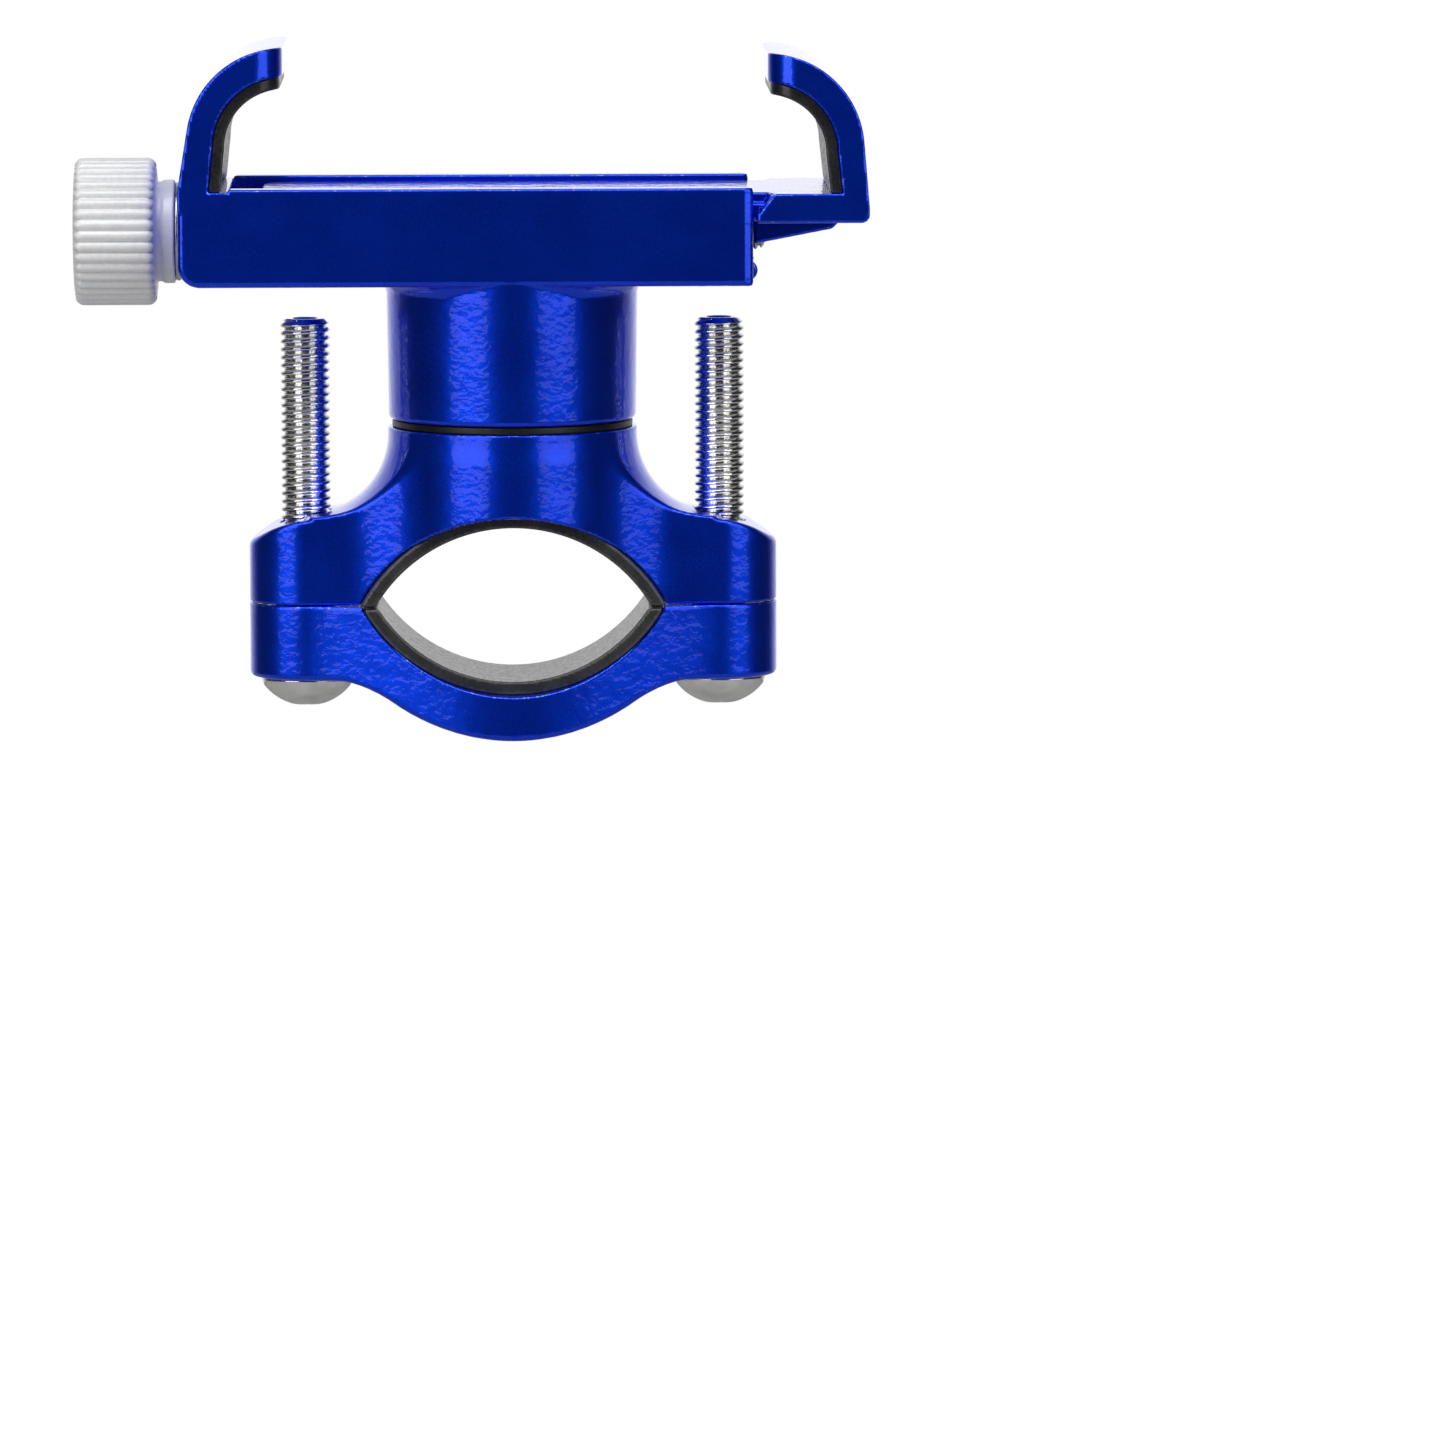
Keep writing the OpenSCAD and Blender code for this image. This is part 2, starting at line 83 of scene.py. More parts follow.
# Cradle: a channel-shaped casting with the fixed hook and the post
half_depth = cradle_high[1]
body_left = cradle_low[0]
nose_reach = 0.5
body_right = cradle_high[0] - nose_reach
ledge = fixed_pad_low[2]
wall_top = ledge + 0.3
body_base = wall_top - 9.7
wall_t = 2.5
channel = half_depth - wall_t
floor_top = body_base + 2.5
end_wall = body_left + 5
groove_deep = 1.25
groove_z = (wall_top - 3.5, wall_top - 1.3)
trough_r = 3.7
nose_r = 1.0
nose_rise = 1.4
base_corner_r = 2.2
wall_end_bevel = (0.95, 0.35)
post_fillet_r = 1.5
post_merge_half = 6
post_bottom = cradle_low[2]
post_r_bottom = 12.35
post_r_top = 12.55
pocket_r = 7.5
pocket_floor = 25.0
pivot_r = 3.0
running_gap = 0.05

# Hooks and pads
hook_r = 9.5
mouth_r = 6.9
mouth_drop = 0.3
mouth_foot = 7.35
tip_corner_r = 3.0
pad_t = 1.2
pad_back = 0.25
pad_half = fixed_pad_high[1]
pad_corner_r = 2.4
pad_rib_pitch = 4.8
pad_groove = (1.2, 0.4)
fixed_tip = (fixed_pad_high[0] + pad_back, cradle_high[2] - hook_r)
sliding_tip = (sliding_pad_low[0] - pad_back, jaw_high[2] - hook_r)

# Sliding jaw
arm_top = sliding_pad_low[2]
arm_t = 2.9
arm_bottom = arm_top - arm_t
arm_end = body_right + 0.4
arm_cove = (1.6, 2.1)
back_foot = 1.45
plate_half = channel - 0.3
plate_end = jaw_low[0]
plate_chamfer = (1.3, 2.5)
tongue_half = channel + 1.0
tongue_z = (arm_bottom + 0.2, arm_bottom + 1.9)
boss_half = 5.2
boss_len = 10
boss_bottom = jaw_low[2]
gusset_half = 6.0
screw_room_r = 2.6

# Drive
screw_z = (screw_low[2] + screw_high[2]) / 2
screw_r = screw_high[1]
screw_pitch = 0.7
nut_r = nut_high[1]
knob_r = knob_high[1]
flutes = 40
knob_neck_r = 5.15
knob_neck_len = 1.85

# Handlebar clamp
bar_r = 15.9
seat_r = bar_r + 1.3
upper_arc_z = upper_liner_high[2] - seat_r
lower_arc_z = lower_liner_low[2] + seat_r
bolt_x = (bolt_low[0] + bolt_high[0]) / 2
bolt_r = 2.5
bolt_pitch = 0.8
ear_r = upper_high[0] - bolt_x
neck_r = upper_high[1]
neck_top = upper_high[2]
upper_ear_t = 8.5
ear_slope = 0.14
ear_bevel = (3.3, 2.06)
pivot_head_r = 5.9
pivot_head_h = 2.9
lower_ear_t = 7.5
arch_r = 21.5
arch_z = lower_low[2] + arch_r


# ---------------------------------------------------------------------- distance-field tools
def both(a, b, r=0.0):
    """What lies inside a and b, with the edge between them rounded to r."""
    outside = np.hypot(np.maximum(a + r, 0), np.maximum(b + r, 0))
    return np.minimum(-r, np.maximum(a, b)) + outside


def either(a, b, r=0.0):
    """What lies inside a or b, with a hollow of radius r where they meet."""
    inside = np.hypot(np.maximum(r - a, 0), np.maximum(r - b, 0))
    return np.maximum(r, np.minimum(a, b)) - inside


def cut(a, b, r=0.0):
    """What is left of a when b is taken away, with the new edges rounded to r."""
    return both(a, -b, r)


def span(u, low, high):
    """The slab between two planes."""
    return np.abs(u - (low + high) / 2) - (high - low) / 2


def ramp(u, v, p, q):
    """Distance to the line from p to q, positive on its left."""
    du, dv = q[0] - p[0], q[1] - p[1]
    return ((v - p[1]) * du - (u - p[0]) * dv) / np.hypot(du, dv)


def fold(angle, count):
    """Angle from the middle of the nearest of count equal sectors."""
    sector = 2 * math.pi / count
    return (angle / sector + 0.5) % 1 * sector - sector / 2


def hexagon(u, v, across):
    """Hexagon of a given width across its flats."""
    turn = fold(np.arctan2(v, u), 6)
    return np.hypot(u, v) * np.cos(turn) - across / 2


def thread(along, u, v, radius, pitch):
    """Right-hand thread on the axis u = v = 0, with flat crests and rounded roots."""
    phase = (along / pitch - np.arctan2(v, u) / (2 * math.pi)) % 1
    depth = 0.54 * pitch
    flank = np.abs(phase - 0.5) * 2
    groove = np.clip(1.16 * (1 - flank) - 0.1, 0, 1)
    groove = groove * groove * (1.6 - 0.6 * groove)
    return (np.hypot(u, v) - radius + depth * groove) * 0.62


# ------------------------------------------------------------------------------- the castings
def mouth(u, v, lining, foot_depth):
    """Space inside a hook less a lining, in the hook's own directions u and v."""
    r = mouth_r - lining
    low = v + mouth_drop
    lean = mouth_foot - mouth_r
    side = ramp(-u, v, (-r - lean, -foot_depth), (-r, -mouth_drop))
    round_part = np.hypot(u, low) - r
    return np.maximum(np.where(low > 0, round_part, side), -foot_depth - v)


def hook_back(u, v, foot, leg):
    """Back of a hook: its bend, and below it the tangent that reaches the point (foot, -leg)."""
    lean = math.acos(hook_r / math.hypot(foot, leg)) - math.atan2(leg, foot)
    straight = u * math.cos(lean) + v * math.sin(lean) - hook_r
    in_bend = v * math.cos(lean) > u * math.sin(lean)
    return np.maximum(np.where(in_bend, np.hypot(u, v) - hook_r, straight), u - foot)


def hook(u, y, v, foot, leg, foot_depth):
    """Hook whose tip is at u = 0 and whose bend is centred on the origin."""
    depth = np.abs(y)
    plan = both(depth - half_depth, -u, tip_corner_r)
    body = both(hook_back(u, v, foot, leg), plan, 0.18)
    return cut(body, mouth(u, v, 0, foot_depth), 0.15)


def post(radius, z):
    """Post under the cradle, slightly wider at the top."""
    taper = (z - post_bottom) / (body_base - post_bottom)
    side = radius - post_r_bottom - taper * (post_r_top - post_r_bottom)
    return both(both(side, post_bottom - z, 0.45), z - body_base - 1)


def cradle_body(x, y, z):
    """Channel-shaped casting with the fixed hook, the side walls and the swivel post."""
    depth = np.abs(y)
    radius = np.hypot(x, y)
    axis = np.hypot(y, z - screw_z)
    end_bevel = ramp(
        depth, x,
        (half_depth, body_right - wall_end_bevel[0]), (half_depth - wall_end_bevel[1], body_right),
    )
    plan = np.maximum(depth - half_depth, -end_bevel)
    plan = both(both(plan, x - body_right, 0.25), body_left - x, 0.6)
    corner = both(body_left - x, body_base - z, base_corner_r)
    # The lower edge stays sharp where the post's front runs into it
    base_edge_r = 0.3 * np.clip((np.abs(x) - post_merge_half) / 3, 0, 1)
    rim_r = np.where(z > screw_z, 0.25, base_edge_r)
    block = both(plan, span(z, body_base, wall_top), rim_r)
    block = np.maximum(block, both(corner, depth - half_depth, 0.6))
    block = cut(block, np.maximum(x - end_wall, ledge - z), 0.2)
    fillet_r = np.clip(0.75 * (half_depth - depth), 0.01, post_fillet_r)
    block = np.maximum(either(block, post(radius, z), fillet_r), depth - half_depth)
    grip = hook(
        fixed_tip[0] - x, y, z - fixed_tip[1],
        foot=fixed_tip[0] - body_left, leg=fixed_tip[1] - ledge, foot_depth=fixed_tip[1] - ledge,
    )
    grip = np.maximum(grip, ledge - 2 - z)
    nose_at = (body_right + nose_reach - nose_r, body_base + nose_rise)
    nose = both(np.hypot(x - nose_at[0], z - nose_at[1]) - nose_r, depth - channel, 0.3)
    body = np.minimum(block, np.minimum(grip, nose))
    trench = np.maximum(end_wall - x, span(z, floor_top, wall_top + 1))
    body = cut(body, np.maximum(trench, depth - channel), 0.25)
    grooves = np.maximum(end_wall - x, span(z, *groove_z))
    body = cut(body, np.maximum(grooves, depth - channel - groove_deep), 0.12)
    body = cut(body, np.maximum(axis - trough_r, end_wall - x), 0.3)
    body = cut(body, axis - screw_r - running_gap, 0.15)
    body = cut(body, np.maximum(radius - pocket_r, pocket_floor - z), 0.3)
    return cut(body, radius - pivot_r - running_gap, 0.2)


def sliding_jaw(x, y, z):
    """Jaw that slides in the channel: hook, arm, guided plate, nut boss and gusset."""
    depth = np.abs(y)
    axis = np.hypot(y, z - screw_z)
    u, v = x - sliding_tip[0], z - sliding_tip[1]
    foot, leg = jaw_high[0] - sliding_tip[0], sliding_tip[1] - arm_bottom - back_foot
    grip = hook(u, y, v, foot, leg, foot_depth=sliding_tip[1] - arm_top)
    grip = np.maximum(grip, arm_bottom + 1 - z)
    cove = ramp(x, z, (arm_end, arm_top - arm_cove[1]), (arm_end + arm_cove[0], arm_top))
    arm = both(hook_back(u, v, foot, leg), arm_bottom - z, 0.8)
    arm = both(arm, both(z - arm_top, cove, 0.2), 0.2)
    arm = both(np.maximum(arm, arm_end - x), depth - half_depth, 0.25)
    corner = ramp(
        x, depth,
        (plate_end, plate_half - plate_chamfer[1]), (plate_end + plate_chamfer[0], plate_half),
    )
    plan = both(both(depth - plate_half, corner, 0.8), plate_end - x, 0.8)
    plate = both(np.maximum(plan, x - arm_end - 2), span(z, arm_bottom, arm_top), 0.3)
    tongue = both(span(z, *tongue_z), depth - tongue_half, 0.25)
    tongue = both(tongue, span(x, plate_end + plate_chamfer[0], arm_end + 1), 0.3)
    boss_end = plate_end + boss_len
    boss = both(span(x, plate_end, boss_end), depth - boss_half, 0.5)
    boss = both(boss, span(z, boss_bottom, arm_bottom + 1), 0.4)
    wedge_tip = (arm_end + 7.6, screw_z + 0.4)
    wedge = np.maximum(
        ramp(x, z, wedge_tip, (arm_end - 0.2, boss_bottom + 0.9)),
        ramp(x, z, (arm_end + 8.8, arm_bottom + 0.2), wedge_tip),
    )
    gusset = both(wedge, depth - gusset_half, 0.3)
    gusset = both(gusset, span(z, boss_bottom, arm_bottom + 0.6), 0.2)
    gusset = both(gusset, arm_end - 0.2 - x, 0.3)
    body = np.minimum(np.minimum(grip, arm), np.minimum(plate, tongue))
    body = either(either(body, boss, 0.4), gusset, 0.35)
    body = cut(body, np.maximum(axis - nut_r, x - boss_end), 0.2)
    screw_room = np.maximum(axis - screw_room_r, span(x, boss_end - 1, arm_end + 5.8))
    return cut(body, screw_room, 0.2)


def upper_plan(x, y):
    """Upper clamp seen from above: round middle, two ears and the hollows between them."""
    across, depth = np.abs(x), np.abs(y)
    hollow_r = 12.5
    hollow_at = (17.0, hollow_r + ear_r)
    middle = np.hypot(x, y) - neck_r
    hollow = hollow_r - np.hypot(across - hollow_at[0], depth - hollow_at[1])
    ear = np.hypot(np.maximum(across - bolt_x, 0), depth) - ear_r
    flank = np.where(across < hollow_at[0], hollow, ear)
    return np.where(depth * hollow_at[0] > across * hollow_at[1], middle, flank)


def clamp_upper(x, y, z):
    """Upper clamp: neck, arch and two threaded ears in one casting."""
    across = np.abs(x)
    radius = np.hypot(x, y)
    plan = upper_plan(x, y)
    bevel_x = bolt_x + ear_r - ear_bevel[0]
    bevel_z = upper_ear_t - ear_slope * (bevel_x - bolt_x)
    deck = ramp(-across, z, (-bevel_x, bevel_z), (-bolt_x, upper_ear_t))
    bevel_foot = (-bevel_x - ear_bevel[0], bevel_z - ear_bevel[1])
    bevel = ramp(-across, z, bevel_foot, (-bevel_x, bevel_z))
    ears = both(deck, bevel, 0.7)
    flare_r = 8.2
    flare_at = (20.65, 16.9)
    waist = flare_r - np.hypot(radius - flare_at[0], z - flare_at[1])
    waist = np.where(z > flare_at[1], radius - flare_at[0] + flare_r, waist)
    waist = np.maximum(waist, radius - flare_at[0])
    top = either(ears, waist, 0.6)
    body = both(both(plan, top, 0.45), span(z, upper_low[2], neck_top), 0.2)
    body = cut(body, np.hypot(x, z - upper_arc_z) - seat_r, 0.25)
    body = cut(body, np.hypot(across - bolt_x, y) - bolt_r - running_gap, 0.25)
    rise = z - pivot_low[2]
    head = np.maximum(radius - pivot_head_r + np.maximum(rise, 0), rise - pivot_head_h)
    return cut(body, np.minimum(head, radius - pivot_r), 0.1)


def clamp_lower(x, y, z):
    """Lower clamp: an arch with bulging faces between two ears for the bolts."""
    across, depth = np.abs(x), np.abs(y)
    ear = np.hypot(np.maximum(across - bolt_x, 0), depth) - ear_r
    bulge_r = 29.0
    bulge = np.hypot(x, depth + bulge_r - lower_high[1]) - bulge_r
    plan = either(ear, bulge, 4.0)
    belly = either(-lower_ear_t - z, np.hypot(x, z - arch_z) - arch_r, 2.0)
    body = both(plan, belly, 0.55)
    body = both(body, z - lower_high[2], 0.25)
    body = cut(body, np.hypot(x, z - lower_arc_z) - seat_r, 0.3)
    return cut(body, np.hypot(across - bolt_x, y) - bolt_r - 0.25, 0.3)


# ------------------------------------------------------------------------------ rubber pieces
def pad(u, y, v, foot_depth):
    """Rubber pad inside a hook, with soft-edged grooves along its face."""
    depth = np.abs(y)
    strip = (y / pad_rib_pitch) % 1 - 0.5
    beside = np.abs(strip) * pad_rib_pitch - pad_groove[0] / 2
    groove = np.clip(0.5 - beside / 0.35, 0, 1) * (depth < 2 * pad_rib_pitch)
    face = mouth(u, v, pad_t - pad_groove[1] * groove, foot_depth)
    plan = both(depth - pad_half, pad_back - u, pad_corner_r)
    body = both(cut(mouth(u, v, 0, foot_depth), face, 0.15), plan, 0.2)
    return body


def fixed_jaw_pad(x, y, z):
    """Pad of the fixed hook."""
    return pad(fixed_tip[0] - x, y, z - fixed_tip[1], fixed_tip[1] - ledge)


def sliding_jaw_pad(x, y, z):
    """Pad of the sliding jaw."""
    return pad(x - sliding_tip[0], y, z - sliding_tip[1], sliding_tip[1] - arm_top)


def liner(x, y, z, arc_z, low, high):
    """Rubber strip on one half of the clamp."""
    half = upper_liner_high[1]
    ring = np.hypot(x, z - arc_z)
    strip = both(ring - seat_r, bar_r - ring, 0.2)
    strip = both(strip, np.abs(y) - half, 0.25)
    return both(strip, span(z, low, high), 0.2)


def clamp_liner_upper(x, y, z):
    """Liner of the upper half."""
    return liner(x, y, z, upper_arc_z, upper_liner_low[2], upper_liner_high[2] + 1)


def clamp_liner_lower(x, y, z):
    """Liner of the lower half."""
    return liner(x, y, z, lower_arc_z, lower_liner_low[2] - 1, lower_liner_high[2])


# ----------------------------------------------------------------------------- turned pieces
def knob(x, y, z):
    """Knob with convex ridges, rounded ends and a plain neck."""
    v = z - screw_z
    radius = np.hypot(y, v)
    beside = radius * fold(np.arctan2(v, y), flutes)
    ridge_r = 0.62
    ridge = np.hypot(radius - knob_r + ridge_r, beside) - ridge_r
    grip = np.minimum(radius - knob_r + 0.45, ridge)
    grip_end = knob_high[0] - knob_neck_len
    grip = both(grip, span(x, knob_low[0], grip_end), 0.9)
    dish = np.hypot(radius - 3.6, x - knob_low[0] + 0.35) - 0.6
    grip = cut(grip, dish, 0.2)
    neck = both(radius - knob_neck_r, x - knob_high[0], 0.25)
    neck = np.maximum(neck, grip_end - 1 - x)
    undercut = np.hypot((x - grip_end - 0.35) / 1.4, radius - knob_neck_r - 0.1) - 0.28
    body = either(grip, cut(neck, undercut, 0.1), 0.12)
    return cut(body, np.maximum(radius - screw_r, screw_low[0] - x), 0.1)


def lead_screw(x, y, z):
    """Threaded spindle with a plain journal and a groove for its clip."""
    v = z - screw_z
    radius = np.hypot(y, v)
    journal_end = end_wall + 2
    body = np.where(x < journal_end, radius - screw_r, thread(x, y, v, screw_r, screw_pitch))
    point = radius - screw_r + 0.45 - (screw_high[0] - x)
    body = np.maximum(body, point * 0.7)
    body = both(body, span(x, screw_low[0], screw_high[0]), 0.1)
    clip_at = end_wall + 0.55
    groove = np.maximum(span(x, clip_at, clip_at + 0.7), 1.6 - radius)
    return cut(body, groove, 0.05)


def drive_nut(x, y, z):
    """Bush with rounded ends and a bore for the lead screw."""
    radius = np.hypot(y, z - screw_z)
    bush = both(radius - nut_r, span(x, nut_low[0], nut_high[0]), 0.35)
    return cut(bush, radius - screw_r - running_gap, 0.3)


def ring(along, radius, node_span, outer, inner, edge):
    """Washer between two planes."""
    return both(both(radius - outer, inner - radius, 0.02), span(along, *node_span), edge)


def knob_washer(x, y, z):
    """Ring between the knob's neck and the body."""
    low, high = box_mm("knob_washer")
    return ring(x, np.hypot(y, z - screw_z), (low[0], high[0]), high[1], screw_r + 0.05, 0.12)


def clip_washer(x, y, z):
    """Washer under the clip of the lead screw."""
    low, high = box_mm("clip_washer")
    return ring(x, np.hypot(y, z - screw_z), (low[0], high[0]), high[1], screw_r + 0.05, 0.1)


def screw_clip(x, y, z):
    """Open clip with three fingers on the lead screw's groove."""
    low, high = box_mm("screw_clip")
    v = z - screw_z
    radius = np.hypot(y, v)
    turn = fold(np.arctan2(v, y) - math.pi / 2, 3)
    between = np.abs(turn) * radius > 0.75
    inner = np.where(between, 2.15, 1.6)
    clip = ring(x, radius, (low[0], high[0]), high[1], inner, 0.12)
    return cut(clip, np.maximum(np.abs(y) - 1.1, -v), 0.2)


def friction_disc(x, y, z):
    """Disc between the post and the clamp's neck."""
    radius = np.hypot(x, y)
    return ring(z, radius, (disc_low[2], disc_high[2]), disc_high[0], pivot_r + 0.05, 0.15)


def swivel_screw(x, y, z):
    """Countersunk screw with a hexagon socket, threaded above the post's web."""
    radius = np.hypot(x, y)
    rise = z - pivot_low[2]
    head = radius - pivot_head_r + np.maximum(rise, 0)
    cone = np.maximum(head * 0.71, radius - pivot_head_r)
    plain = radius - pivot_r
    shank = np.where(z > pocket_floor, thread(z, x, y, pivot_r, 1.0), plain)
    shank = np.maximum(shank, (radius - pivot_r + 0.6 - (pivot_high[2] - z)) * 0.7)
    body = np.minimum(np.maximum(cone, rise - pivot_head_h - 0.1), shank)
    body = both(body, span(z, pivot_low[2], pivot_high[2]), 0.12)
    return cut(body, np.maximum(hexagon(x, y, 4), rise - 2.4), 0.15)


def swivel_flat_washer(x, y, z):
    """Washer on the floor of the post's pocket."""
    low, high = box_mm("swivel_flat_washer")
    return ring(z, np.hypot(x, y), (low[2], high[2]), high[0], pivot_r + 0.05, 0.15)


def swivel_spring_washer(x, y, z):
    """Cone-shaped spring washer."""
    low, high = box_mm("swivel_spring_washer")
    radius = np.hypot(x, y)
    rise = (high[0] - radius) / (high[0] - pivot_r - 0.2) * 0.5
    leaf = span(z - rise, low[2], low[2] + 0.9)
    return both(both(radius - high[0], pivot_r + 0.2 - radius, 0.02), leaf, 0.12)


def swivel_nut(x, y, z):
    """Hexagon nut with chamfered corners."""
    low, high = box_mm("swivel_nut")
    radius = np.hypot(x, y)
    side = both(hexagon(y, x, 10), radius - 5.75, 0.1)
    crown = (radius - 5.0 + np.abs(z - (low[2] + high[2]) / 2) - (high[2] - low[2]) / 2) * 0.7
    body = both(np.maximum(side, crown), span(z, low[2], high[2]), 0.1)
    return cut(body, radius - pivot_r, 0.2)


def clamp_bolt(x, y, z):
    """Button-head bolt under the right ear: domed head, hexagon socket, rolled thread."""
    u = x - bolt_x
    radius = np.hypot(u, y)
    head_r = bolt_high[0] - bolt_x
    seat = -lower_ear_t
    dome_h = seat - 0.6 - bolt_low[2]
    dome_r = (head_r ** 2 + dome_h ** 2) / (2 * dome_h)
    dome = np.hypot(radius, z - bolt_low[2] - dome_r) - dome_r
    head = both(both(dome, radius - head_r, 0.3), z - seat, 0.25)
    head = both(head, bolt_low[2] + 0.12 - z, 0.2)
    below_end = bolt_high[2] - z
    shank = np.maximum(thread(z, u, y, bolt_r, bolt_pitch), seat - 0.5 - z)
    shank = np.maximum(shank, (radius - bolt_r + 0.55 - below_end) * 0.7)
    cup = np.hypot(radius, z - bolt_high[2] - 3.0) - 3.35
    shank = cut(both(shank, -below_end, 0.1), cup, 0.1)
    socket = np.maximum(hexagon(u, y, 3), z - bolt_low[2] - 1.7)
    return cut(np.minimum(head, shank), socket, 0.12)


# ------------------------------------------------------------------------------------ meshes
def slope_at(field, points, reach=0.02):
    """Value, gradient and edge sharpness of a field at some points."""
    x, y, z = points.T
    here = field(x, y, z)
    sides = []
    for shift in np.eye(3) * reach:
        ahead = field(x + shift[0], y + shift[1], z + shift[2])
        behind = field(x - shift[0], y - shift[1], z - shift[2])
        sides.append((ahead, behind))
    gradient = np.stack([(a - b) / (2 * reach) for a, b in sides], axis=1)
    bend = sum(a + b - 2 * here for a, b in sides) / reach ** 2
    return here, gradient, bend


def surface(field, node, step):
    """Points, quads, normals and edge sharpness of a field inside a node's box."""
    low, high = box_mm(node)
    start = low - 2.5 * step
    counts = np.ceil((high - low) / step).astype(int) + 6
    axes = [(start[i] + step * np.arange(counts[i])).astype(np.float32) for i in range(3)]
    x, y, z = axes[0][:, None, None], axes[1][None, :, None], axes[2][None, None, :]
    values = np.broadcast_to(field(x, y, z), counts).astype(np.float32)
    values = np.ascontiguousarray(np.clip(values, -3 * step, 3 * step))
    grid = openvdb.FloatGrid(3 * step)
    grid.copyFromArray(values)
    cells, quads = grid.convertToQuads(0.0)
    points = start + np.asarray(cells, float) * step
    for _ in range(3):
        here, gradient, bend = slope_at(field, points)
        steepness = np.maximum((gradient ** 2).sum(axis=1), 0.2)
        move = -gradient * (here / steepness)[:, None]
        points = points + np.clip(move, -step / 2, step / 2)
    here, gradient, bend = slope_at(field, points)
    normals = gradient / np.maximum(np.linalg.norm(gradient, axis=1), 1e-6)[:, None]
    return np.clip(points, low, high), np.asarray(quads), normals, np.clip(bend / 4, 0, 1)


def mesh_of(name, points, quads, normals, sharp):
    """Blender mesh, in metres, with the field's own normals and an edge attribute."""
    a, b, c = (points[quads[:, i]] for i in range(3))
    facing = (np.cross(b - a, c - a) * normals[quads[:, 0]]).sum()
    if facing < 0:
        quads = quads[:, ::-1]
    mesh = bpy.data.meshes.new(name)
    mesh.vertices.add(len(points))
    mesh.vertices.foreach_set("co", (points * MM).ravel())
    mesh.loops.add(quads.size)
    mesh.loops.foreach_set("vertex_index", quads.ravel().astype(np.int32))
    mesh.polygons.add(len(quads))
    mesh.polygons.foreach_set("loop_start", np.arange(0, quads.size, 4, dtype=np.int32))
    mesh.update(calc_edges=True)
    mesh.validate()
    mesh.shade_smooth()
    mesh.normals_split_custom_set_from_vertices(normals)
    edge = mesh.attributes.new("edge", "FLOAT", "POINT")
    edge.data.foreach_set("value", sharp.astype(np.float32))
    return mesh


# --------------------------------------------------------------------------------- materials
class Look:
    """A Principled material under construction, with its texture nodes in object space."""

    def __init__(self, name, color, metallic=0.0, roughness=0.5, **sockets):
        """Shader with constant values, whose texture nodes are added afterwards."""
        self.material = bpy.data.materials.new(name)
        self.material.use_nodes = True
        self.nodes = self.material.node_tree.nodes
        self.links = self.material.node_tree.links
        self.shader = self.nodes["Principled BSDF"]
        self.place = self.nodes.new("ShaderNodeTexCoord").outputs["Object"]
        self.shader.inputs["Base Color"].default_value = (*color, 1)
        self.shader.inputs["Metallic"].default_value = metallic
        self.shader.inputs["Roughness"].default_value = roughness
        for socket, value in sockets.items():
            self.shader.inputs[socket.replace("_", " ")].default_value = value

    def noise(self, size, detail=3.0, stretch=(1, 1, 1), distortion=0.0):
        """Noise whose features are about size millimetres wide."""
        mapping = self.nodes.new("ShaderNodeMapping")
        mapping.inputs["Scale"].default_value = [k / (size * MM) for k in stretch]
        self.links.new(self.place, mapping.inputs["Vector"])
        texture = self.nodes.new("ShaderNodeTexNoise")
        texture.inputs["Scale"].default_value = 1.0
        texture.inputs["Detail"].default_value = detail
        texture.inputs["Distortion"].default_value = distortion
        self.links.new(mapping.outputs["Vector"], texture.inputs["Vector"])
        return texture.outputs["Fac"]

    def scale(self, value, low, high, new_low, new_high):
        """Maps value from one range to another."""
        node = self.nodes.new("ShaderNodeMapRange")
        for socket, number in zip(list(node.inputs)[1:5], (low, high, new_low, new_high)):
            socket.default_value = number
        self.links.new(value, node.inputs["Value"])
        return node.outputs["Result"]

    def math(self, operation, a, b):
        """Sum, product and so on of a texture value and a texture value or number."""
        node = self.nodes.new("ShaderNodeMath")
        node.operation = operation
        for socket, value in zip(node.inputs, (a, b)):
            if isinstance(value, (int, float)):
                socket.default_value = value
            else:
                self.links.new(value, socket)
        return node.outputs["Value"]

    def mix(self, factor, first, second):
        """Colour between two colours."""
        node = self.nodes.new("ShaderNodeMix")
        node.data_type = "RGBA"
        self.links.new(factor, node.inputs["Factor"])
        for socket, color in ((node.inputs[6], first), (node.inputs[7], second)):
            if isinstance(color, tuple):
                socket.default_value = (*color, 1)
            else:
                self.links.new(color, socket)
        return node.outputs[2]

    def bump(self, height, depth, under=None):
        """Bump from a height of 0 to 1, depth in millimetres."""
        node = self.nodes.new("ShaderNodeBump")
        node.inputs["Distance"].default_value = depth * MM
        self.links.new(height, node.inputs["Height"])
        if under is not None:
            self.links.new(under, node.inputs["Normal"])
        return node.outputs["Normal"]

    def edges(self):
        """How sharp the nearest edge is, from the mesh's edge attribute."""
        node = self.nodes.new("ShaderNodeAttribute")
        node.attribute_name = "edge"
        return node.outputs["Fac"]

    def put(self, socket, value):
        """Links a texture value to a socket of the shader."""
        self.links.new(value, self.shader.inputs[socket])


